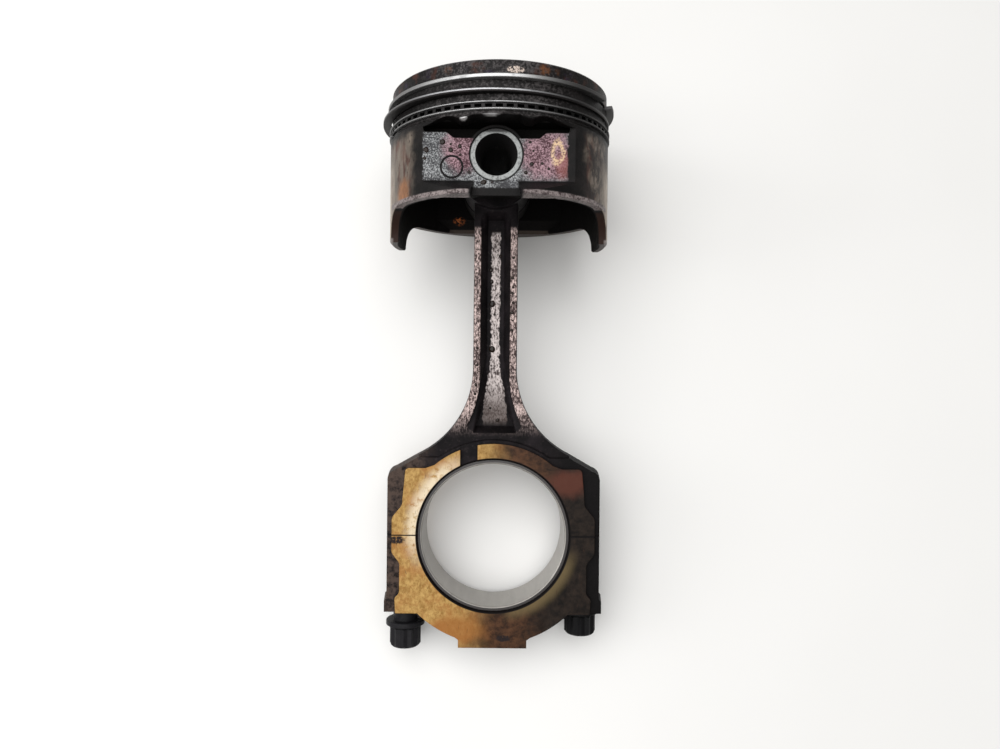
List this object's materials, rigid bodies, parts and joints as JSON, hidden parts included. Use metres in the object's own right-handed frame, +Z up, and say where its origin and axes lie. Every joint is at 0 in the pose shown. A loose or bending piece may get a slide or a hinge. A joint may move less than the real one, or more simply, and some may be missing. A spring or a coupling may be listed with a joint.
{
  "type": "piston and connecting rod",
  "caption": "Engine piston with sprung rings and a hollow wrist pin, on an I-beam connecting rod with a split, bolted big end and plain bearing shells, lying on its side.",
  "frame": {"origin": "on the surface that the object lies on, under the middle of its bounding box", "axes": "+Z up from that surface; +Y along the object from the big end to the crown; +X across the rod, in the plane of its swing"},
  "size_m": [0.0858, 0.209, 0.0872],
  "materials": {
    "piston_alloy": "cast and turned, blackened by oil carbon, worn bare on the skirt",
    "ring_steel": "ground, oily",
    "ring_iron": "ground, oily",
    "expander_steel": "pressed strip, oily",
    "pin_steel": "ground, oily",
    "rod_forging": "forged and shot blasted, varnished by hot oil, thrust faces ground",
    "bearing_metal": "satin plain bearing lining",
    "bolt_steel": "black oxide, oily"
  },
  "bodies": {
    "rod": {"connecting_rod": "rod_forging", "rod_cap": "rod_forging", "upper_bearing_shell": "bearing_metal", "lower_bearing_shell": "bearing_metal", "left_rod_bolt": "bolt_steel", "right_rod_bolt": "bolt_steel", "wrist_pin": "pin_steel"},
    "piston": {"piston": "piston_alloy"},
    "top_ring": {"top_compression_ring": "ring_steel"},
    "second_ring": {"second_compression_ring": "ring_iron"},
    "upper_rail": {"oil_ring_upper_rail": "ring_steel"},
    "expander": {"oil_ring_expander": "expander_steel"},
    "lower_rail": {"oil_ring_lower_rail": "ring_steel"}
  },
  "joints": [
    {"name": "piston_swing", "type": "hinge", "parent": "rod", "child": "piston", "pos_m": [-0.0005, 0.06943, 0.0418], "axis": [0, -0.1779, 0.9841], "range_deg": [-40, 40]},
    {"name": "top_ring_turn", "type": "hinge", "parent": "piston", "child": "top_ring", "pos_m": [0.0009, 0.09155, 0.04579], "axis": [0, 0.9841, 0.1779], "continuous": true},
    {"name": "second_ring_turn", "type": "hinge", "parent": "piston", "child": "second_ring", "pos_m": [-0.0009, 0.08692, 0.04496], "axis": [0, 0.9841, 0.1779], "continuous": true},
    {"name": "upper_rail_turn", "type": "hinge", "parent": "piston", "child": "upper_rail", "pos_m": [0.0004, 0.08359, 0.04436], "axis": [0, 0.9841, 0.1779], "continuous": true},
    {"name": "expander_turn", "type": "hinge", "parent": "piston", "child": "expander", "pos_m": [0.0004, 0.08247, 0.04415], "axis": [0, 0.9841, 0.1779], "continuous": true},
    {"name": "lower_rail_turn", "type": "hinge", "parent": "piston", "child": "lower_rail", "pos_m": [0.0004, 0.08134, 0.04395], "axis": [0, 0.9841, 0.1779], "continuous": true}
  ]
}
